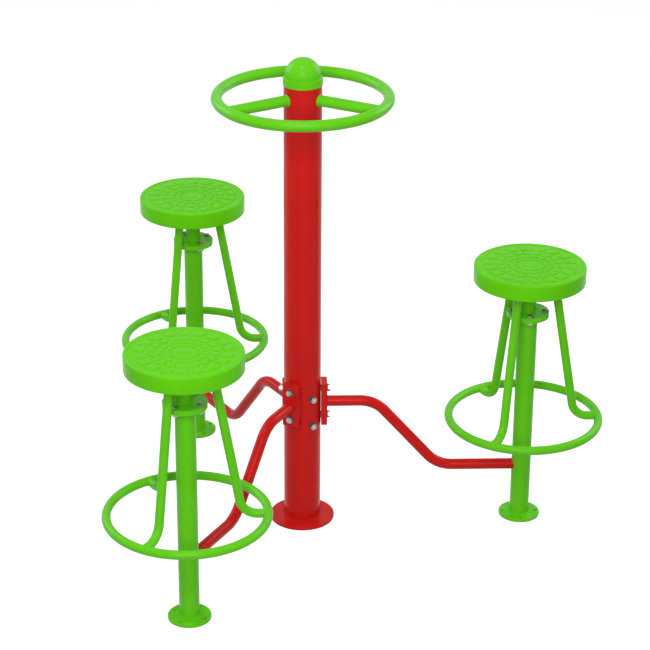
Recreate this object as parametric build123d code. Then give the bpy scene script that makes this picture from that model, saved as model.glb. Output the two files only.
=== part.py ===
from build123d import *
import os

# Three-person seated twister: one fixed post with a hand ring, and three stools that turn
# on bearings at the ends of S-bent arms. Millimetres, +Z up, ground at Z = 0.
# The origin is the centre of the central post's foot. +X runs out along arm 1.

# ---- Central post and its cap ----
post_od = 114.3
post_wall = 4.0
post_top = 1460.4
post_base_radius = 101.2
post_base_thickness = 8.8
post_base_edge_round = 1.5
cap_fit = 0.15
cap_collar_wall = 1.9
cap_collar_height = 22.2
cap_ledge = 6.5
cap_dome_step = 6.4
cap_wall = 3.0
cap_edge_round = 1.2

# ---- Hand ring ----
hand_ring_drop = 60.4
hand_ring_radius = 254.1
hand_tube_od = 33.7
hand_tube_wall = 2.6
spoke_angles = (90, 210, 330)
vent_diameter = 8.0
mouth_tip = 4.0

# ---- Arms ----
arm_angles = (0, 120, 240)
arm_stagger = (0.0, -15.3, 15.3)
arm_height = 405.8
arm_drop = 227.9
arm_tube_od = 33.7
arm_tube_wall = 3.2
arm_upper_corner = 225.6
arm_lower_corner = 426.2
arm_bend_radius = 102.8

# ---- Arm end plates and their through bolts ----
plate_gap = 1.2
plate_thickness = 18.5
plate_width = 55.0
plate_height = 142.0
plate_edge_round = 1.2
arm_bolt_diameter = 12.0
arm_bolt_hole = 13.0
arm_bolt_offset = 46.0
arm_bolt_flats = 19.0
arm_bolt_head = 7.5
arm_nut_height = 10.0
arm_washer_od = 24.0
arm_washer_thickness = 2.5
arm_bolt_tail = 3.0
saddle_thickness = 3.85
spacer_od = 18.0

# ---- Stools: where they stand and their fixed posts ----
seat_distance = 692.9
seat_post_od = 60.3
seat_post_wall = 2.9
seat_base_radius = 64.5
seat_base_thickness = 8.4
seat_base_round = 1.5
anchor_pcd = 103.0
anchor_hole = 12.0
anchor_count = 4

# ---- Seat ----
seat_top = 862.3
seat_thickness = 51.3
seat_radius = 171.4
seat_wall = 4.0
seat_top_wall = 5.0
seat_rim_round = 7.0
seat_foot_round = 1.5
seat_plate_recess = 2.0
seat_plate_thickness = 6.0
seat_plate_fit = 0.4
screw_circle = 120.0
screw_diameter = 8.0
screw_fit = 0.1
screw_length = 30.0
screw_head_od = 15.0
screw_head_height = 5.3
screw_boss_od = 18.0
screw_angles = (60, 180, 300)

# ---- Hub: flanges, housing, bearings and spindle ----
hub_height = 118.5
flange_radius = 64.5
flange_thickness = 8.0
flange_pcd = 104.0
flange_bolt_count = 4
flange_bolt_diameter = 10.0
flange_bolt_hole = 11.0
flange_bolt_flats = 17.0
flange_bolt_head = 6.4
flange_nut_height = 8.0
flange_bolt_tail = 3.0
flange_drain = 30.0
housing_wall = 3.15
bearing_od = 42.0
bearing_bore = 20.0
bearing_width = 12.0
bearing_ring_wall = 3.0
bearing_cover = 1.0
ball_groove_depth = 0.5
ball_clearance = 0.3
ball_count = 9
lower_bearing_rise = 21.5
spindle_boss_od = 40.0
spindle_boss_height = 14.0
spindle_shoulder_od = 28.0
spindle_end_od = 16.0
sleeve_od = 26.0
seal_inset = 1.15
seal_gap = 0.3
seal_thickness = 2.7
spindle_washer_od = 30.0
spindle_washer_thickness = 2.5
spindle_nut_flats = 24.0
spindle_nut_height = 9.0
spindle_tail = 2.0

# ---- Legs and foot ring ----
leg_angles = (0, 120, 240)
leg_tube_od = 26.9
leg_tube_wall = 2.6
leg_top_radius = 77.6
leg_corner_radius = 158.8
leg_bend_radius = 51.7
foot_ring_height = 345.2
foot_ring_radius = 233.8
foot_tube_od = 26.9
foot_tube_wall = 2.6

# ---- Heights and radii that follow from the sizes above ----
post_radius = post_od / 2
hand_ring_height = post_top - hand_ring_drop
plate_back = post_radius + plate_gap
plate_front = plate_back + plate_thickness
seat_bottom = seat_top - seat_thickness
seat_plate_bottom = seat_bottom + seat_plate_recess
seat_plate_top = seat_plate_bottom + seat_plate_thickness
seat_post_top = seat_bottom - hub_height
housing_bottom = seat_post_top + flange_thickness
housing_od = bearing_od + 2 * housing_wall
spindle_boss_bottom = seat_plate_bottom - spindle_boss_height
housing_top = spindle_boss_bottom - seal_thickness - seal_gap
upper_bearing_bottom = housing_top - bearing_cover - bearing_width
lower_bearing_bottom = housing_bottom + lower_bearing_rise
ball_circle = (bearing_od + bearing_bore) / 4
outer_ring_id = bearing_od - 2 * bearing_ring_wall
inner_ring_od = bearing_bore + 2 * bearing_ring_wall
ball_radius = (outer_ring_id - inner_ring_od) / 4 + ball_groove_depth
seal_od = housing_od - 2 * seal_inset
spindle_nut_top = lower_bearing_bottom - spindle_washer_thickness
spindle_bottom = spindle_nut_top - spindle_nut_height - spindle_tail
BASE = (Align.CENTER, Align.CENTER, Align.MIN)


def disc(radius, bottom, top):
    """Upright solid cylinder between two heights."""
    return Pos(0, 0, bottom) * Cylinder(radius, top - bottom, align=BASE)


def collar(outer, inner, bottom, top):
    """Upright plain ring or tube."""
    return disc(outer, bottom, top) - disc(inner, bottom, top)


def rod(radius, start, end):
    """Cylinder lying along +X, from start to end."""
    return Pos(start, 0, 0) * Rot(0, 90, 0) * Cylinder(radius, end - start, align=BASE)


def hexagon(flats, height):
    """Upright hexagonal prism, standing on Z = 0."""
    return extrude(RegularPolygon(flats / 2, 6, major_radius=False), height)


def around(shape, angles, radius):
    """Copies of a shape set at a radius, one at each angle."""
    return [Rot(0, 0, angle) * Pos(radius, 0, 0) * shape for angle in angles]


def evenly(count):
    return [360 * i / count for i in range(count)]


def bent_tube(points, bend_radius, outer, wall):
    """Round tube along straight runs joined by one bend radius."""
    path = FilletPolyline(*points, radius=bend_radius)
    section = Circle(outer / 2) - Circle(outer / 2 - wall)
    return sweep(Plane(origin=path @ 0, z_dir=path % 0) * section, path=path)


def hollow_ring(radius, height, tube_od, wall, vents):
    """Ring of bent tube, vented on its inner side at each tube that is welded to it."""
    ring = Torus(radius, tube_od / 2) - Torus(radius, tube_od / 2 - wall)
    drill = rod(vent_diameter / 2, radius - tube_od, radius)
    for angle in vents:
        ring -= Rot(0, 0, angle) * drill
    return Pos(0, 0, height) * ring


def save(name, *solids):
    shape = solids[0] if len(solids) == 1 else Compound(children=list(solids))
    export_step(shape, f"parts/{name}.step")


def central_post():
    tube = collar(post_radius, post_radius - post_wall, post_base_thickness, post_top)
    for angle, stagger in zip(arm_angles, arm_stagger):
        for side in (-1, 1):
            height = arm_height + stagger + side * arm_bolt_offset
            hole = rod(arm_bolt_hole / 2, -post_od, post_od)
            tube -= Pos(0, 0, height) * Rot(0, 0, angle) * hole
    return tube


def post_foot():
    plate = disc(post_base_radius, 0, post_base_thickness)
    return fillet(plate.edges().group_by(Axis.Z)[-1], post_base_edge_round)


def post_cap():
    collar_radius = post_radius + cap_fit + cap_collar_wall
    dome_radius = collar_radius - cap_ledge
    ledge = post_top + cap_wall
    dome_centre = ledge + cap_dome_step
    skirt = disc(collar_radius, ledge - cap_collar_height, ledge)
    skirt = fillet(skirt.edges().group_by(Axis.Z)[-1], cap_edge_round)
    outside = skirt + disc(dome_radius, post_top, dome_centre) + Pos(0, 0, dome_centre) * Sphere(dome_radius)
    bore = disc(post_radius + cap_fit, 0, post_top)
    inner_radius = dome_radius - cap_wall
    inside = bore + disc(inner_radius, 0, dome_centre) + Pos(0, 0, dome_centre) * Sphere(inner_radius)
    return outside - inside


def spokes():
    reach = hand_ring_radius - mouth_tip
    tube = rod(hand_tube_od / 2, 0, reach) - rod(hand_tube_od / 2 - hand_tube_wall, 0, reach)
    tube -= Cylinder(post_radius, 2 * hand_tube_od)
    tube -= Torus(hand_ring_radius, hand_tube_od / 2)
    return [Pos(0, 0, hand_ring_height) * Rot(0, 0, angle) * tube for angle in spoke_angles]


def arm_tube(height):
    low = height - arm_drop
    points = [
        (plate_front, 0, height),
        (arm_upper_corner, 0, height),
        (arm_lower_corner, 0, low),
        (seat_distance, 0, low),
    ]
    tube = bent_tube(points, arm_bend_radius, arm_tube_od, arm_tube_wall)
    return tube - Pos(seat_distance, 0, low) * Cylinder(seat_post_od / 2, 2 * arm_tube_od)


def arm_end_plate(height):
    block = Box(plate_thickness, plate_width, plate_height, align=(Align.MIN, Align.CENTER, Align.CENTER))
    block = fillet(block.edges(), plate_edge_round)
    for side in (-1, 1):
        block -= Pos(0, 0, side * arm_bolt_offset) * rod(arm_bolt_hole / 2, -plate_gap, 2 * plate_thickness)
    return Pos(plate_back, 0, height) * block


def arm_bolt_set(height):
    """Through bolt with its washers and nut, the spacer behind the plate and the saddle behind the nut."""
    head_start = plate_front + arm_washer_thickness
    saddle_end = post_radius + saddle_thickness
    bolt = rod(arm_bolt_diameter / 2, -saddle_end - arm_nut_height - arm_bolt_tail, head_start)
    head = Pos(head_start, 0, 0) * Rot(0, 90, 0) * hexagon(arm_bolt_flats, arm_bolt_head)
    washer = rod(arm_washer_od / 2, plate_front, head_start) - rod(arm_bolt_diameter / 2, 0, head_start)
    post_body = Cylinder(post_radius, 2 * arm_washer_od)
    bolt_space = rod(arm_bolt_hole / 2, -2 * post_od, 2 * post_od)
    spacer = rod(spacer_od / 2, 0, plate_back) - post_body - bolt_space
    saddle = rod(arm_washer_od / 2, -saddle_end, 0) - post_body - bolt_space
    nut = Pos(-saddle_end - arm_nut_height, 0, 0) * Rot(0, 90, 0) * hexagon(arm_bolt_flats, arm_nut_height)
    nut -= rod(arm_bolt_diameter / 2, -2 * post_od, 0)
    pieces = [bolt + head, washer, spacer, saddle, nut]
    levels = [height - arm_bolt_offset, height + arm_bolt_offset]
    return [Pos(0, 0, level) * piece for level in levels for piece in pieces]


def seat_post():
    return collar(seat_post_od / 2, seat_post_od / 2 - seat_post_wall, seat_base_thickness, seat_post_top)


def seat_foot():
    plate = disc(seat_base_radius, 0, seat_base_thickness)
    plate = fillet(plate.edges().group_by(Axis.Z)[-1], seat_base_round)
    for hole in around(disc(anchor_hole / 2, 0, seat_base_thickness), evenly(anchor_count), anchor_pcd / 2):
        plate -= hole
    return plate


def flange_plate(bottom, bore_diameter):
    plate = collar(flange_radius, bore_diameter / 2, bottom, bottom + flange_thickness)
    drill = disc(flange_bolt_hole / 2, bottom, bottom + flange_thickness)
    for hole in around(drill, evenly(flange_bolt_count), flange_pcd / 2):
        plate -= hole
    return plate


def bearing_housing():
    """Turned tube with a bearing seat at each end, welded through its bolt flange."""
    body = flange_plate(housing_bottom, bearing_od) + collar(
        housing_od / 2, bearing_od / 2, housing_bottom, housing_top
    )
    lower_step = lower_bearing_bottom + bearing_width
    return body + collar(bearing_od / 2, outer_ring_id / 2, lower_step, upper_bearing_bottom)


def flange_bolts():
    reach = 2 * flange_thickness
    bolt = disc(flange_bolt_diameter / 2, -flange_nut_height - flange_bolt_tail, reach)
    bolt += Pos(0, 0, reach) * hexagon(flange_bolt_flats, flange_bolt_head)
    nut = Pos(0, 0, -flange_nut_height) * hexagon(flange_bolt_flats, flange_nut_height)
    nut -= disc(flange_bolt_diameter / 2, -flange_nut_height, 0)
    angles = evenly(flange_bolt_count)
    placed = around(bolt, angles, flange_pcd / 2) + around(nut, angles, flange_pcd / 2)
    return [Pos(0, 0, seat_post_top) * piece for piece in placed]


def bearing_ring(outer, inner, bottom):
    """Bearing ring with the ball groove cut into it."""
    groove = Pos(0, 0, bottom + bearing_width / 2) * Torus(ball_circle, ball_radius + ball_clearance)
    return collar(outer / 2, inner / 2, bottom, bottom + bearing_width) - groove


def bearing_outer_rings():
    return [bearing_ring(bearing_od, outer_ring_id, z) for z in (lower_bearing_bottom, upper_bearing_bottom)]


def bearing_inner_parts():
    """Both inner rings, the sleeve that spaces them, and the balls that run round with them."""
    pieces = [
        collar(sleeve_od / 2, bearing_bore / 2, lower_bearing_bottom + bearing_width, upper_bearing_bottom)
    ]
    for z in (lower_bearing_bottom, upper_bearing_bottom):
        pieces.append(bearing_ring(inner_ring_od, bearing_bore, z))
        balls = around(Sphere(ball_radius), evenly(ball_count), ball_circle)
        pieces += [Pos(0, 0, z + bearing_width / 2) * ball for ball in balls]
    return pieces


def spindle():
    shoulder_bottom = upper_bearing_bottom + bearing_width
    return (
        disc(spindle_boss_od / 2, spindle_boss_bottom, seat_plate_bottom)
        + disc(spindle_shoulder_od / 2, shoulder_bottom, spindle_boss_bottom)
        + disc(bearing_bore / 2, lower_bearing_bottom, shoulder_bottom)
        + disc(spindle_end_od / 2, spindle_bottom, lower_bearing_bottom)
    )


def spindle_nut():
    bottom = spindle_nut_top - spindle_nut_height
    nut = Pos(0, 0, bottom) * hexagon(spindle_nut_flats, spindle_nut_height)
    nut -= disc(spindle_end_od / 2, bottom, spindle_nut_top)
    washer = collar(spindle_washer_od / 2, spindle_end_od / 2, spindle_nut_top, lower_bearing_bottom)
    return [nut, washer]


def dust_seal():
    return collar(seal_od / 2, spindle_shoulder_od / 2, housing_top + seal_gap, spindle_boss_bottom)


def seat_cover():
    """Moulded seat: a shallow cup, open below, with a screw boss over each screw."""
    shell = disc(seat_radius, seat_bottom, seat_top)
    shell = fillet(shell.edges().group_by(Axis.Z)[-1], seat_rim_round)
    shell = fillet(shell.edges().group_by(Axis.Z)[0], seat_foot_round)
    inner_top = seat_top - seat_top_wall
    shell -= disc(seat_radius - seat_wall, seat_bottom, inner_top)
    boss = collar(screw_boss_od / 2, screw_diameter / 2 + screw_fit, seat_plate_top, inner_top)
    for piece in around(boss, screw_angles, screw_circle):
        shell += piece
    return shell


def seat_plate():
    plate = disc(seat_radius - seat_wall - seat_plate_fit, seat_plate_bottom, seat_plate_top)
    drill = disc(screw_diameter / 2 + screw_fit, seat_plate_bottom, seat_plate_top)
    for hole in around(drill, screw_angles, screw_circle):
        plate -= hole
    return plate


def seat_screws():
    screw = disc(screw_diameter / 2, 0, screw_length) + disc(screw_head_od / 2, -screw_head_height, 0)
    placed = around(screw, screw_angles, screw_circle)
    return [Pos(0, 0, seat_plate_bottom) * piece for piece in placed]


def seat_legs():
    """Three splayed tubes, cut flat under the seat plate and turned out to meet the foot ring."""
    slope = (leg_corner_radius - leg_top_radius) / (seat_plate_bottom - foot_ring_height)
    spare = leg_tube_od
    points = [
        (leg_top_radius - slope * spare, 0, seat_plate_bottom + spare),
        (leg_corner_radius, 0, foot_ring_height),
        (foot_ring_radius - mouth_tip, 0, foot_ring_height),
    ]
    leg = bent_tube(points, leg_bend_radius, leg_tube_od, leg_tube_wall)
    leg -= disc(foot_ring_radius, seat_plate_bottom, seat_plate_bottom + 3 * spare)
    leg -= Pos(0, 0, foot_ring_height) * Torus(foot_ring_radius, foot_tube_od / 2)
    return [Rot(0, 0, angle) * leg for angle in leg_angles]


def foot_ring():
    return hollow_ring(foot_ring_radius, foot_ring_height, foot_tube_od, foot_tube_wall, leg_angles)


os.makedirs("parts", exist_ok=True)

save("center_post", central_post())
save("post_base_plate", post_foot())
save("post_cap", post_cap())
rim = hollow_ring(hand_ring_radius, hand_ring_height, hand_tube_od, hand_tube_wall, spoke_angles)
save("hand_ring", rim)
save("hand_ring_spokes", *spokes())

stool_pieces = {
    "seat_post": [seat_post()],
    "seat_post_base": [seat_foot()],
    "seat_post_flange": [flange_plate(seat_post_top, flange_drain)],
    "bearing_housing": [bearing_housing()],
    "flange_bolts": flange_bolts(),
    "bearing_outer_rings": bearing_outer_rings(),
    "bearing_inner_parts": bearing_inner_parts(),
    "spindle": [spindle()],
    "spindle_nut": spindle_nut(),
    "dust_seal": [dust_seal()],
    "seat_cover": [seat_cover()],
    "seat_plate": [seat_plate()],
    "seat_screws": seat_screws(),
    "seat_legs": seat_legs(),
    "foot_ring": [foot_ring()],
}

for number, (angle, stagger) in enumerate(zip(arm_angles, arm_stagger), start=1):
    turn = Rot(0, 0, angle)
    height = arm_height + stagger
    save(f"arm_tube_{number}", turn * arm_tube(height))
    save(f"arm_end_plate_{number}", turn * arm_end_plate(height))
    save(f"arm_bolts_{number}", *[turn * piece for piece in arm_bolt_set(height)])
    for name, pieces in stool_pieces.items():
        save(f"{name}_{number}", *[turn * Pos(seat_distance, 0, 0) * piece for piece in pieces])
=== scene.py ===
import bpy
import bmesh
from math import cos, pi, radians, sin, sqrt, tan
from mathutils import Matrix, Vector


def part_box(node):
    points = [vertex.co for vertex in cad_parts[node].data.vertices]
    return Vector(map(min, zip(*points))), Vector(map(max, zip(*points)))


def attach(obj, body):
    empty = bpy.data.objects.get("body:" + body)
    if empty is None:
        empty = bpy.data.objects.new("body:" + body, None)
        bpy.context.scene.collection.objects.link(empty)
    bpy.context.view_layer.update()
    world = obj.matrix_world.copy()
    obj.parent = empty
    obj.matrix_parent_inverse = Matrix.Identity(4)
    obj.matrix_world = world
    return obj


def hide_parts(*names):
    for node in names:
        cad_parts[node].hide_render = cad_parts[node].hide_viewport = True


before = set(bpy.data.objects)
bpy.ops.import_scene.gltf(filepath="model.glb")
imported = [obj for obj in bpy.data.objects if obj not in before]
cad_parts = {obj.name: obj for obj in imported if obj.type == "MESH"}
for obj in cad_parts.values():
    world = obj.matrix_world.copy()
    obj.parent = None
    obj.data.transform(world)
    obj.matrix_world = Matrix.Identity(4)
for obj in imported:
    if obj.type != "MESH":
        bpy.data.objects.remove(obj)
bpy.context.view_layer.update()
MM = 0.001


# ---------------------------------------------------------------------------
# Middle post. A plain round steel tube, shot-blasted and finished in red
# polyester powder coat: even, glossy, with a faint orange-peel ripple.
# ---------------------------------------------------------------------------
def linear(hex_colour):
    """sRGB hex text to linear RGBA."""
    channels = [int(hex_colour[i:i + 2], 16) / 255 for i in (0, 2, 4)]
    return tuple(c / 12.92 if c <= 0.04045 else ((c + 0.055) / 1.055) ** 2.4 for c in channels) + (1.0,)


def add_node(tree, kind, links=None, **settings):
    """Adds a node, sets its properties or sockets, and links its inputs from other nodes."""
    node = tree.nodes.new(kind)
    for name, value in settings.items():
        socket = node.inputs.get(name.replace("_", " ")) if not hasattr(node, name) else None
        if socket is not None:
            socket.default_value = value
        else:
            setattr(node, name, value)
    for name, source in (links or {}).items():
        tree.links.new(source, node.inputs[name])
    return node


def new_material(name):
    """An empty node material and its tree."""
    material = bpy.data.materials.new(name)
    material.use_nodes = True
    material.node_tree.nodes.clear()
    return material, material.node_tree


def powder_coat(name, main, deep, peel_mm):
    """Polyester powder coat: a thick gloss skin with a shallow ripple a few millimetres wide."""
    material, tree = new_material(name)
    where = add_node(tree, "ShaderNodeTexCoord").outputs["Object"]
    # film thickness drifts over hand-sized areas, which deepens the colour a little
    drift = add_node(tree, "ShaderNodeTexNoise", {"Vector": where}, Scale=1 / (90 * MM), Detail=2.0)
    colour = add_node(tree, "ShaderNodeMix", {"Factor": drift.outputs["Fac"]}, data_type="RGBA")
    colour.inputs[6].default_value = linear(main)
    colour.inputs[7].default_value = linear(deep)
    # orange peel, drawn a little coarser than the real 1 to 2 mm so that it shows
    peel = add_node(tree, "ShaderNodeTexNoise", {"Vector": where}, Scale=1 / (peel_mm * MM), Detail=1.5)
    bump = add_node(tree, "ShaderNodeBump", {"Height": peel.outputs["Fac"]}, Strength=0.05, Distance=0.3 * MM)
    # handling leaves soft dull patches in the gloss
    dull = add_node(tree, "ShaderNodeTexNoise", {"Vector": where}, Scale=1 / (35 * MM), Detail=4.0)
    gloss = add_node(tree, "ShaderNodeMapRange", {"Value": dull.outputs["Fac"]})
    gloss.inputs["To Min"].default_value = 0.16
    gloss.inputs["To Max"].default_value = 0.30
    paint = add_node(tree, "ShaderNodeBsdfPrincipled", {
        "Base Color": colour.outputs[2],
        "Roughness": gloss.outputs["Result"],
        "Normal": bump.outputs["Normal"],
    })
    paint.inputs["IOR"].default_value = 1.5
    paint.inputs["Specular IOR Level"].default_value = 0.09
    add_node(tree, "ShaderNodeOutputMaterial", {"Surface": paint.outputs["BSDF"]})
    return material


red_powder_coat = powder_coat("red_powder_coat", "ce1c19", "c11815", 3.0)
green_powder_coat = powder_coat("green_powder_coat", "67cb1a", "5dbf15", 3.0)


def smooth_but_creased(mesh, crease_degrees=34):
    """Smooth shading that keeps the edges sharper than the crease angle."""
    mesh.shade_smooth()
    mesh.set_sharp_from_angle(angle=radians(crease_degrees))


def paint_nodes(material, *names):
    """Gives CAD pieces their finish and clean shading."""
    for name in names:
        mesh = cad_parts[name].data
        mesh.materials.clear()
        mesh.materials.append(material)
        smooth_but_creased(mesh)


def make_piece(name, mesh_data, body, material, replaced=()):
    """Turns a bmesh into a named piece that rides on a body."""
    mesh = bpy.data.meshes.new(name)
    mesh_data.to_mesh(mesh)
    mesh_data.free()
    mesh.materials.append(material)
    smooth_but_creased(mesh)
    piece = bpy.data.objects.new(name, mesh)
    bpy.context.scene.collection.objects.link(piece)
    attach(piece, body)
    if replaced:
        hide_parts(*replaced)
    return piece


paint_nodes(red_powder_coat, "center_post")

# ---------------------------------------------------------------------------
# Weld beads. Every tube joint is MIG welded all round before painting, so a
# low rippled bead under the paint softens each inside corner.
# ---------------------------------------------------------------------------
BEAD_SIDES = 8
BEAD_RIPPLE = 3.2 * MM
BEAD_SWELL = 0.06


def bead_into(mesh, points, radius):
    """Adds one closed weld bead along points, with its ripples spaced as a welder lays them."""
    count = len(points)
    length = sum((points[i] - points[i - 1]).length for i in range(count))
    ripples = max(3, round(length / BEAD_RIPPLE))
    rings = []
    for i, point in enumerate(points):
        tangent = (points[(i + 1) % count] - points[i - 1]).normalized()
        side = tangent.cross(Vector((0, 0, 1)))
        if side.length < 0.1:
            side = tangent.cross(Vector((1, 0, 0)))
        side.normalize()
        up = side.cross(tangent)
        swell = radius * (1 + BEAD_SWELL * sin(2 * pi * ripples * i / count))
        rings.append([
            mesh.verts.new(point + swell * (cos(a) * side + sin(a) * up))
            for a in (2 * pi * k / BEAD_SIDES for k in range(BEAD_SIDES))
        ])
    for i in range(count):
        near, far = rings[i - 1], rings[i]
        for k in range(BEAD_SIDES):
            mesh.faces.new((near[k - 1], near[k], far[k], far[k - 1]))


def circle_points(centre, radius, count):
    """Level circle about a centre."""
    return [centre + Vector((radius * cos(a), radius * sin(a), 0))
            for a in (2 * pi * i / count for i in range(count))]


def turned(points, degrees, centre=Vector((0, 0, 0))):
    """Points turned about the upright line through the origin, then moved."""
    turn = Matrix.Rotation(radians(degrees), 3, "Z")
    return [turn @ p + centre for p in points]


def saddle_points(tube, cylinder, height, count=72):
    """Line where a level tube along +X meets an upright cylinder on the Z axis."""
    points = []
    for i in range(count):
        a = 2 * pi * i / count
        y, z = tube * cos(a), tube * sin(a)
        points.append(Vector((sqrt(cylinder ** 2 - y ** 2), y, height + z)))
    return points


def mouth_points(tube, ring, ring_tube, height, count=72):
    """Line where a level tube along +X meets a ring of tube from inside."""
    points = []
    inside = 0.97 * tube
    for i in range(count):
        a = 2 * pi * i / count
        y, z = inside * cos(a), inside * sin(a)
        reach = ring - sqrt(ring_tube ** 2 - z ** 2)
        points.append(Vector((sqrt(reach ** 2 - y ** 2), y, height + z)))
    return points


# ---------------------------------------------------------------------------
# Foot plate of the middle post. A disc of 9 mm steel plate, welded to the
# tube all round and powder coated with it.
# ---------------------------------------------------------------------------
paint_nodes(red_powder_coat, "post_base_plate")
post_low, post_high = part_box("center_post")
post_radius = post_high.x
foot_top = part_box("post_base_plate")[1].z
BEAD_STAND_OFF = 0.4 * MM
POST_BEAD = 2.4 * MM
foot = Vector((0, 0, foot_top + BEAD_STAND_OFF))
beads = bmesh.new()
bead_into(beads, circle_points(foot, post_radius + BEAD_STAND_OFF, 180), POST_BEAD)
make_piece("post_foot_weld", beads, "frame", red_powder_coat)

# ---------------------------------------------------------------------------
# Hand ring. One length of 34 mm tube rolled into a ring and closed, carried by
# three tubes welded to the post; gloss green powder coat.
# ---------------------------------------------------------------------------
paint_nodes(green_powder_coat, "hand_ring", "hand_ring_spokes")
SPOKE_ANGLES = (90, 210, 330)
SPOKE_POST_BEAD, SPOKE_RING_BEAD = 1.8 * MM, 1.4 * MM
ring_low, ring_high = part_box("hand_ring")
hand_tube = (ring_high.z - ring_low.z) / 2
hand_radius = ring_high.x - hand_tube
hand_height = (ring_high.z + ring_low.z) / 2
beads = bmesh.new()
for angle in SPOKE_ANGLES:
    at_post = saddle_points(hand_tube, post_radius, hand_height)
    at_ring = mouth_points(hand_tube, hand_radius, hand_tube, hand_height)
    bead_into(beads, turned(at_post, angle), SPOKE_POST_BEAD)
    bead_into(beads, turned(at_ring, angle), SPOKE_RING_BEAD)
make_piece("hand_ring_welds", beads, "frame", green_powder_coat)

# ---------------------------------------------------------------------------
# Domed cap. Spun steel, pushed over the top of the post and coated green.
# ---------------------------------------------------------------------------
paint_nodes(green_powder_coat, "post_cap")

# ---------------------------------------------------------------------------
# Arms. S-bent 34 mm tubes welded to a thick end plate and to the stool post;
# red powder coat to match the post.
# ---------------------------------------------------------------------------
ARM_ANGLES = {1: 0, 2: 120, 3: 240}
PLATE_BEAD, STOOL_BEAD = 2.0 * MM, 1.4 * MM
STOOL_CENTRES = {}
for number in ARM_ANGLES:
    low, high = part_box(f"seat_post_{number}")
    STOOL_CENTRES[number] = Vector(((low.x + high.x) / 2, (low.y + high.y) / 2, 0))
seat_post_radius = (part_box("seat_post_1")[1].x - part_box("seat_post_1")[0].x) / 2
stool_reach = STOOL_CENTRES[1].x
arm_radius = (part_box("arm_tube_1")[1].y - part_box("arm_tube_1")[0].y) / 2
plate_back, plate_face = (corner.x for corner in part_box("arm_end_plate_1"))
for number, angle in ARM_ANGLES.items():
    paint_nodes(red_powder_coat, f"arm_tube_{number}", f"arm_end_plate_{number}")
    arm_low, arm_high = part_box(f"arm_tube_{number}")
    upper, lower = arm_high.z - arm_radius, arm_low.z + arm_radius
    beads = bmesh.new()
    ring = [Vector((plate_face + 0.3 * MM, y, z + upper)) for y, z in (
        (arm_radius * cos(a), arm_radius * sin(a)) for a in (2 * pi * i / 72 for i in range(72)))]
    bead_into(beads, turned(ring, angle), PLATE_BEAD)
    saddle = saddle_points(arm_radius, seat_post_radius, lower)
    joint = [Vector((stool_reach - p.x, p.y, p.z)) for p in saddle]
    bead_into(beads, turned(joint, angle), STOOL_BEAD)
    make_piece(f"arm_welds_{number}", beads, "frame", red_powder_coat)


# ---------------------------------------------------------------------------
# Fasteners. Zinc-plated steel bolts, nuts and washers: pale grey metal with a
# faint bluish passivation and light turning marks. Washers and spacers get a darker copy of the zinc, which
# is painted shade for the shadow ring round each head.
# ---------------------------------------------------------------------------
def plated_steel(name, main, tint, low_gloss, high_gloss):
    """Bright metal whose plating varies a little in tint and polish."""
    material, tree = new_material(name)
    where = add_node(tree, "ShaderNodeTexCoord").outputs["Object"]
    cloud = add_node(tree, "ShaderNodeTexNoise", {"Vector": where}, Scale=1 / (8 * MM), Detail=3.0)
    colour = add_node(tree, "ShaderNodeMix", {"Factor": cloud.outputs["Fac"]}, data_type="RGBA")
    colour.inputs[6].default_value = linear(main)
    colour.inputs[7].default_value = linear(tint)
    fine = add_node(tree, "ShaderNodeTexNoise", {"Vector": where}, Scale=1 / (0.8 * MM), Detail=2.0)
    rough = add_node(tree, "ShaderNodeMapRange", {"Value": fine.outputs["Fac"]})
    rough.inputs["To Min"].default_value = low_gloss
    rough.inputs["To Max"].default_value = high_gloss
    metal = add_node(tree, "ShaderNodeBsdfPrincipled", {
        "Base Color": colour.outputs[2], "Roughness": rough.outputs["Result"],
    })
    metal.inputs["Metallic"].default_value = 1.0
    add_node(tree, "ShaderNodeOutputMaterial", {"Surface": metal.outputs["BSDF"]})
    return material


zinc_plate = plated_steel("bright_zinc_plate", "a9a6a0", "8f8e8d", 0.26, 0.42)
# darker copy of the same zinc: painted shade for the shadow ring round the bolt heads, put on washers and
# spacers
zinc_painted_shade = plated_steel("zinc_painted_shade_plate", "6f6b68", "5c5a5b", 0.40, 0.58)
ground_steel = plated_steel("ground_bearing_steel", "b4b6b9", "a2a4a8", 0.12, 0.22)
turned_steel = plated_steel("turned_oiled_steel", "9c9c9d", "868788", 0.28, 0.45)


def close_rings(mesh, rings, finish=0):
    """Skins a stack of rings that share a point count, and caps both ends."""
    faces = [mesh.faces.new((low[k - 1], low[k], high[k], high[k - 1]))
             for low, high in zip(rings, rings[1:]) for k in range(len(low))]
    faces += [mesh.faces.new(rings[0][::-1]), mesh.faces.new(rings[-1])]
    for face in faces:
        face.material_index = finish


def turned_rod(mesh, place, radius, low, high, edge, finish=0, sides=48):
    """Plain turned length with a small chamfer at each end."""
    outline = [(radius - edge, low), (radius, low + edge), (radius, high - edge), (radius - edge, high)]
    close_rings(mesh, [[mesh.verts.new(place @ Vector((r * cos(a), r * sin(a), z)))
                        for a in (2 * pi * i / sides for i in range(sides))] for r, z in outline], finish)


def forged_hexagon(mesh, place, flats, low, high, steps=8):
    """Bolt head or nut: a hexagon whose corners are turned off to 30 degrees at both ends."""
    face_radius = 0.47 * flats
    rings = []
    for end, inward in ((low, 1), (high, -1)):
        rows = []
        for outer in (False, True):
            row = []
            for k in range(6 * steps):
                angle = 2 * pi * k / (6 * steps)
                flat = flats / 2 / cos((angle + pi / 6) % (pi / 3) - pi / 6)
                radius = flat if outer else face_radius
                z = end + inward * (radius - face_radius) * tan(radians(30))
                row.append(mesh.verts.new(place @ Vector((radius * cos(angle), radius * sin(angle), z))))
            rows.append(row)
        rings += rows if inward == 1 else rows[::-1]
    close_rings(mesh, rings)


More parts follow.
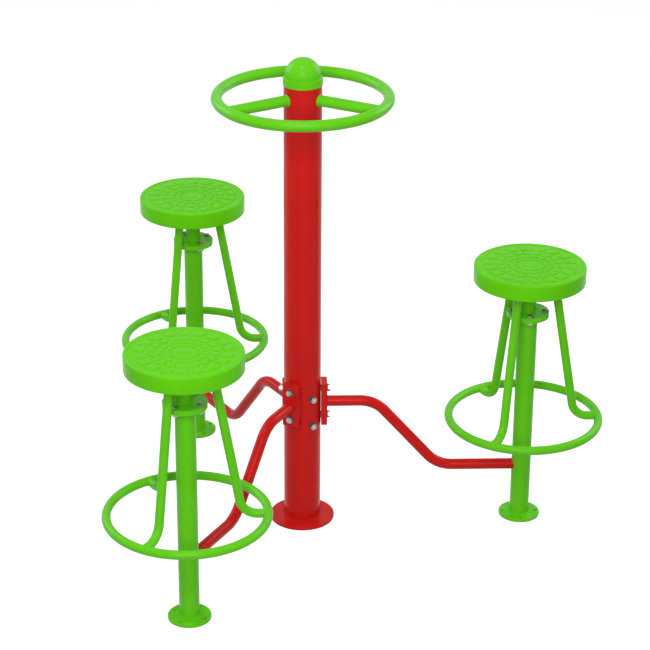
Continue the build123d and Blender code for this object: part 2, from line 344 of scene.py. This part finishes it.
ARM_BOLT, ARM_HEX, ARM_WASHER, ARM_SPACER = 12 * MM, 19 * MM, 24 * MM, 18 * MM
ARM_HEAD, ARM_NUT, ARM_TAIL = 7.5 * MM, 10 * MM, 3 * MM
# washers and spacers reach this far into the round of the post to bed on it
BEDDING = 2 * MM
tail_end, head_end = (corner.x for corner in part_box("arm_bolts_1"))
nut_end = tail_end + ARM_TAIL
for number, angle in ARM_ANGLES.items():
    level_low, level_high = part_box(f"arm_bolts_{number}")
    fasteners = bmesh.new()
    for height in (level_low.z + ARM_WASHER / 2, level_high.z - ARM_WASHER / 2):
        place = (Matrix.Translation((0, 0, height)) @ Matrix.Rotation(radians(angle), 4, "Z")
                 @ Matrix.Rotation(pi / 2, 4, "Y"))
        turned_rod(fasteners, place, ARM_BOLT / 2, tail_end, head_end - ARM_HEAD, 1.0 * MM)
        forged_hexagon(fasteners, place, ARM_HEX, head_end - ARM_HEAD, head_end)
        forged_hexagon(fasteners, place, ARM_HEX, nut_end, nut_end + ARM_NUT)
        # finish 1 is the darker zinc, so the washers and spacers carry painted shade
        turned_rod(fasteners, place, ARM_WASHER / 2, plate_face, head_end - ARM_HEAD, 0.4 * MM, 1)
        turned_rod(fasteners, place, ARM_WASHER / 2, nut_end + ARM_NUT, BEDDING - post_radius, 0.4 * MM, 1)
        turned_rod(fasteners, place, ARM_SPACER / 2, post_radius - BEDDING, plate_back, 0.2 * MM, 1)
    piece = make_piece(f"arm_fasteners_{number}", fasteners, "frame", zinc_plate,
                       (f"arm_bolts_{number}",))
    # second slot: the darker zinc that paints shade on the washers and spacers
    piece.data.materials.append(zinc_painted_shade)

FLANGE_BOLT, FLANGE_HEX = 10 * MM, 17 * MM
FLANGE_HEAD, FLANGE_NUT, FLANGE_TAIL = 6.4 * MM, 8 * MM, 3 * MM
FLANGE_CIRCLE = 52 * MM
# no fitter lines up the heads, so each bolt is turned a little more than the last
HEAD_TURN = 23
for number, angle in ARM_ANGLES.items():
    centre = STOOL_CENTRES[number]
    low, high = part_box(f"flange_bolts_{number}")
    fasteners = bmesh.new()
    for quarter in range(4):
        out = turned([Vector((FLANGE_CIRCLE, 0, 0))], angle + 90 * quarter, centre)[0]
        place = Matrix.Translation(out) @ Matrix.Rotation(radians(angle + HEAD_TURN * quarter), 4, "Z")
        turned_rod(fasteners, place, FLANGE_BOLT / 2, low.z, high.z - FLANGE_HEAD, 0.9 * MM)
        forged_hexagon(fasteners, place, FLANGE_HEX, high.z - FLANGE_HEAD, high.z)
        forged_hexagon(fasteners, place, FLANGE_HEX, low.z + FLANGE_TAIL, low.z + FLANGE_TAIL + FLANGE_NUT)
    make_piece(f"flange_fasteners_{number}", fasteners, "frame", zinc_plate,
               (f"flange_bolts_{number}",))
    paint_nodes(zinc_plate, f"seat_screws_{number}", f"spindle_nut_{number}")

# ---------------------------------------------------------------------------
# Stool posts. 60 mm tube on a round foot with four anchor holes, and a bolt
# flange on top; all welded and coated green.
# ---------------------------------------------------------------------------
FOOT_BEAD, HEAD_BEAD = 1.9 * MM, 1.7 * MM
POST_STAND_OFF = 0.3 * MM
for number, centre in STOOL_CENTRES.items():
    paint_nodes(green_powder_coat, f"seat_post_{number}", f"seat_post_base_{number}",
                f"seat_post_flange_{number}")
    tube_low, tube_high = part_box(f"seat_post_{number}")
    beads = bmesh.new()
    foot = Vector((centre.x, centre.y, tube_low.z + POST_STAND_OFF))
    head = Vector((centre.x, centre.y, tube_high.z - POST_STAND_OFF))
    bead_into(beads, circle_points(foot, seat_post_radius + POST_STAND_OFF, 120), FOOT_BEAD)
    bead_into(beads, circle_points(head, seat_post_radius + POST_STAND_OFF, 120), HEAD_BEAD)
    make_piece(f"seat_post_welds_{number}", beads, "frame", green_powder_coat)

# ---------------------------------------------------------------------------
# Bearing housings. Turned steel tube with its own flange, coated green on the
# outside. Inside are two ball bearings, closed above by a rubber ring.
# ---------------------------------------------------------------------------
nitrile_rubber, tree = new_material("nitrile_rubber")
where = add_node(tree, "ShaderNodeTexCoord").outputs["Object"]
bloom = add_node(tree, "ShaderNodeTexNoise", {"Vector": where}, Scale=1 / (4 * MM), Detail=3.0)
shade = add_node(tree, "ShaderNodeMix", {"Factor": bloom.outputs["Fac"]}, data_type="RGBA")
shade.inputs[6].default_value = linear("1c1c1d")
shade.inputs[7].default_value = linear("2b2b2c")
rubber = add_node(tree, "ShaderNodeBsdfPrincipled", {"Base Color": shade.outputs[2]}, Roughness=0.6)
add_node(tree, "ShaderNodeOutputMaterial", {"Surface": rubber.outputs["BSDF"]})
for number, centre in STOOL_CENTRES.items():
    paint_nodes(green_powder_coat, f"bearing_housing_{number}")
    paint_nodes(ground_steel, f"bearing_outer_rings_{number}", f"bearing_inner_parts_{number}")
    paint_nodes(turned_steel, f"spindle_{number}")
    paint_nodes(nitrile_rubber, f"dust_seal_{number}")

# ---------------------------------------------------------------------------
# Seats. A moulded cup with a rolled rim and eighteen rows of low tread blocks
# on top; self-coloured green plastic with a gloss moulded skin.
# ---------------------------------------------------------------------------
moulded_green, tree = new_material("moulded_green_seat")
where = add_node(tree, "ShaderNodeTexCoord").outputs["Object"]
drift = add_node(tree, "ShaderNodeTexNoise", {"Vector": where}, Scale=1 / (60 * MM), Detail=2.0)
shade = add_node(tree, "ShaderNodeMix", {"Factor": drift.outputs["Fac"]}, data_type="RGBA")
shade.inputs[6].default_value = linear("66ce12")
shade.inputs[7].default_value = linear("5dc50e")
skin = add_node(tree, "ShaderNodeTexNoise", {"Vector": where}, Scale=1 / (1.6 * MM), Detail=2.0)
grain = add_node(tree, "ShaderNodeBump", {"Height": skin.outputs["Fac"]}, Strength=0.06, Distance=0.15 * MM)
plastic = add_node(tree, "ShaderNodeBsdfPrincipled", {
    "Base Color": shade.outputs[2],
    "Normal": grain.outputs["Normal"],
}, Roughness=0.26)
plastic.inputs["IOR"].default_value = 1.49
plastic.inputs["Specular IOR Level"].default_value = 0.05
add_node(tree, "ShaderNodeOutputMaterial", {"Surface": plastic.outputs["BSDF"]})

RIM_ROUND = 6 * MM
FOOT_ROUND = 1.5 * MM
WALL = 4 * MM
TOP_WALL = 5 * MM
TREAD_EDGE = 158.5 * MM
TREAD_DEPTH = 1.9 * MM
TREAD_RING_IN = 22 * MM
BUTTON_RADIUS, BUTTON_HEIGHT = 19.2 * MM, 1.2 * MM
SUNK = 0.4 * MM
ROWS = 18
# radius of each ring of blocks, and how long a block is along that radius
TREAD_RINGS = ((42, 8), (64, 13.5), (92, 20), (127, 32))
BLOCK_SHARE = 0.72
BLOCK_CORNER = 2.4 * MM
BLOCK_BEVEL = 0.6 * MM
SPIN_STEPS = 180


def arc(cx, cz, radius, start, end, steps):
    """Profile points (radius, height) along an arc, angles in degrees."""
    return [(cx + radius * cos(radians(start + (end - start) * i / steps)),
             cz + radius * sin(radians(start + (end - start) * i / steps))) for i in range(steps + 1)]


def spin(mesh, profile, centre, steps=SPIN_STEPS):
    """Turns an open profile about the upright line through centre; ends on the axis close to a point."""
    columns = []
    for i in range(steps):
        a = 2 * pi * i / steps
        columns.append([None if r < 1e-7 else mesh.verts.new(centre + Vector((r * cos(a), r * sin(a), z)))
                        for r, z in profile])
    tips = {k: mesh.verts.new(centre + Vector((0, 0, z))) for k, (r, z) in enumerate(profile) if r < 1e-7}
    for i in range(steps):
        for k in range(len(profile) - 1):
            corner = [columns[i - 1][k] or tips[k], columns[i][k] or tips[k],
                      columns[i][k + 1] or tips[k + 1], columns[i - 1][k + 1] or tips[k + 1]]
            ring = [v for n, v in enumerate(corner) if v is not corner[n - 1]]
            mesh.faces.new(ring)


def block_outline(radius, length, half_angle, inset, corner):
    """Rounded trapezoid between two radii and two spokes, drawn on the +X side."""
    inner, outer = radius - length / 2 + inset, radius + length / 2 - inset
    slim = half_angle - inset / radius
    corners = [(inner, -slim), (outer, -slim), (outer, slim), (inner, slim)]
    flat = [Vector((r * cos(a), r * sin(a))) for r, a in corners]
    points = []
    for k in range(4):
        here, before, after = flat[k], flat[k - 1], flat[(k + 1) % 4]
        room = min((before - here).length, (after - here).length) * 0.4
        cut = min(corner, room)
        first = here + (before - here).normalized() * cut
        last = here + (after - here).normalized() * cut
        for t in (0, 0.25, 0.5, 0.75, 1):
            points.append((1 - t) ** 2 * first + 2 * t * (1 - t) * here + t ** 2 * last)
    return points


def add_block(mesh, place, outlines):
    """Closed block from outlines that share a point count, each at its own height."""
    rings = [[mesh.verts.new(place @ Vector((p.x, p.y, z))) for p in outline] for outline, z in outlines]
    for below, above in zip(rings, rings[1:]):
        for k in range(len(below)):
            mesh.faces.new((below[k - 1], below[k], above[k], above[k - 1]))
    mesh.faces.new(rings[-1])
    mesh.faces.new(rings[0][::-1])


for number, centre in STOOL_CENTRES.items():
    cover_low, cover_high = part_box(f"seat_cover_{number}")
    seat_radius = (cover_high.x - cover_low.x) / 2
    bottom, top = cover_low.z, cover_high.z
    floor_z = top - TREAD_DEPTH
    profile = [(0, floor_z), (TREAD_RING_IN, floor_z)]
    profile += [(TREAD_EDGE - 1.2 * MM, floor_z), (TREAD_EDGE, top - 0.4 * MM), (TREAD_EDGE + 0.8 * MM, top)]
    profile += arc(seat_radius - RIM_ROUND, top - RIM_ROUND, RIM_ROUND, 90, 0, 8)
    profile += arc(seat_radius - FOOT_ROUND, bottom + FOOT_ROUND, FOOT_ROUND, 0, -90, 4)
    profile += [(seat_radius - WALL, bottom), (seat_radius - WALL, top - TOP_WALL), (0, top - TOP_WALL)]
    cover = bmesh.new()
    spin(cover, profile, centre)
    for ring_mm, length_mm in TREAD_RINGS:
        for row in range(ROWS):
            place = Matrix.Translation(centre) @ Matrix.Rotation(radians((row + 0.5) * 360 / ROWS), 4, "Z")
            half = BLOCK_SHARE * pi / ROWS
            size = (ring_mm * MM, length_mm * MM, half)
            add_block(cover, place, [
                (block_outline(*size, 0, BLOCK_CORNER), floor_z - SUNK),
                (block_outline(*size, 0, BLOCK_CORNER), floor_z + 0.3 * MM),
                (block_outline(*size, 0.25 * BLOCK_BEVEL, BLOCK_CORNER), top - 0.35 * MM),
                (block_outline(*size, BLOCK_BEVEL, BLOCK_CORNER), top - 0.05 * MM),
            ])
    button = [(BUTTON_RADIUS, floor_z - SUNK)]
    button += arc(BUTTON_RADIUS - BUTTON_HEIGHT, floor_z, BUTTON_HEIGHT, 0, 90, 4)
    button += [(0, floor_z + BUTTON_HEIGHT)]
    spin(cover, button, centre, 72)
    bmesh.ops.recalc_face_normals(cover, faces=cover.faces)
    make_piece(f"seat_{number}", cover, f"stool_{number}", moulded_green,
               (f"seat_cover_{number}",))
    paint_nodes(green_powder_coat, f"seat_plate_{number}")

# ---------------------------------------------------------------------------
# Legs and foot rings. Three splayed 27 mm tubes run from the seat plate to a
# rolled ring that the feet rest on, all welded and coated green.
# ---------------------------------------------------------------------------
LEG_ANGLES = (0, 120, 240)
RING_BEAD = 1.3 * MM
for number, centre in STOOL_CENTRES.items():
    paint_nodes(green_powder_coat, f"seat_legs_{number}", f"foot_ring_{number}")
    foot_low, foot_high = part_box(f"foot_ring_{number}")
    foot_tube = (foot_high.z - foot_low.z) / 2
    foot_radius = (foot_high.x - foot_low.x) / 2 - foot_tube
    foot_height = (foot_high.z + foot_low.z) / 2
    beads = bmesh.new()
    for angle in LEG_ANGLES:
        line = mouth_points(foot_tube, foot_radius, foot_tube, foot_height)
        bead_into(beads, turned(line, angle, centre), RING_BEAD)
    make_piece(f"foot_ring_welds_{number}", beads, f"stool_{number}", green_powder_coat)

# ---------------------------------------------------------------------------
# Stage: a white floor that keeps the soft shadow, white surroundings, four square
# studio panels and the camera.
# ---------------------------------------------------------------------------
scene = bpy.context.scene
scene.view_settings.view_transform = "Standard"


def seen_directly(tree):
    """1 for rays from the camera, from a reflection or through glass, 0 for the rest."""
    path = add_node(tree, "ShaderNodeLightPath").outputs
    seen = add_node(tree, "ShaderNodeMath", {0: path["Is Camera Ray"], 1: path["Is Glossy Ray"]},
                    operation="MAXIMUM")
    seen = add_node(tree, "ShaderNodeMath", {0: seen.outputs[0], 1: path["Is Transmission Ray"]},
                    operation="MAXIMUM")
    return seen.outputs[0]


# the floor glows just enough that its lit parts read white and its shadow stays
floor_material, tree = new_material("white_floor")
lift = add_node(tree, "ShaderNodeMath", {0: seen_directly(tree)}, operation="MULTIPLY")
lift.inputs[1].default_value = 0.84
glow = add_node(tree, "ShaderNodeEmission", {"Strength": lift.outputs[0]})
matt = add_node(tree, "ShaderNodeBsdfDiffuse")
matt.inputs["Color"].default_value = (0.45, 0.45, 0.45, 1)
both = add_node(tree, "ShaderNodeAddShader", {0: glow.outputs[0], 1: matt.outputs[0]})
add_node(tree, "ShaderNodeOutputMaterial", {"Surface": both.outputs[0]})
FLOOR_RADIUS = 60.0
FLOOR_DROP = 0.5 * MM
floor_mesh = bmesh.new()
bmesh.ops.create_circle(floor_mesh, cap_ends=True, radius=FLOOR_RADIUS, segments=64)
mesh = bpy.data.meshes.new("floor")
floor_mesh.to_mesh(mesh)
floor_mesh.free()
mesh.materials.append(floor_material)
floor = bpy.data.objects.new("floor", mesh)
scene.collection.objects.link(floor)
floor.location.z = -FLOOR_DROP

world = bpy.data.worlds.new("white_surroundings")
scene.world = world
world.use_nodes = True
tree = world.node_tree
tree.nodes.clear()
strength = add_node(tree, "ShaderNodeMapRange", {"Value": seen_directly(tree)})
strength.inputs["To Min"].default_value = 0.22
sky = add_node(tree, "ShaderNodeBackground", {"Strength": strength.outputs["Result"]})
sky.inputs["Color"].default_value = (1, 1, 1, 1)
add_node(tree, "ShaderNodeOutputWorld", {"Surface": sky.outputs[0]})

# name, direction from the object, distance, side of the square panel, brightness of its face
AIM = Vector((0, 0, 0.7))
PANELS = (
    ("front_panel", (-0.05, -0.90, 0.50), 5.6, 3.0, 7.3),
    ("overhead_panel", (-0.10, -0.30, 0.95), 3.6, 1.0, 9.0),
    ("left_panel", (-0.76, 0.44, 0.48), 4.2, 2.4, 3.7),
    ("right_panel", (0.76, 0.44, 0.48), 4.2, 2.4, 3.7),
)
for name, direction, distance, side, brightness in PANELS:
    panel = bpy.data.lights.new(name, "AREA")
    panel.shape = "SQUARE"
    panel.size = side
    panel.energy = pi * side * side * brightness
    lamp = bpy.data.objects.new(name, panel)
    lamp.location = AIM + distance * Vector(direction).normalized()
    lamp.rotation_euler = (AIM - lamp.location).to_track_quat("-Z", "Y").to_euler()
    scene.collection.objects.link(lamp)

# the camera's place, heading and lens were solved from the seats, rings and posts in the photograph
CAMERA_PLACE = (-0.1616, -6.2183, 3.5093)
CAMERA_DOWN, CAMERA_RIGHT, CAMERA_ROLL = 24.447, 1.377, 0.052
camera_data = bpy.data.cameras.new("camera")
camera_data.lens = 123.36
camera_data.sensor_width = 36.0
camera_data.shift_x = 0.0407
camera_data.shift_y = -0.0070
camera = bpy.data.objects.new("camera", camera_data)
tilt = Matrix.Rotation(radians(90 - CAMERA_DOWN), 4, "X")
heading = Matrix.Rotation(radians(-CAMERA_RIGHT), 4, "Z")
roll = Matrix.Rotation(radians(CAMERA_ROLL), 4, "Z")
camera.matrix_world = Matrix.Translation(CAMERA_PLACE) @ heading @ tilt @ roll
scene.collection.objects.link(camera)
scene.camera = camera
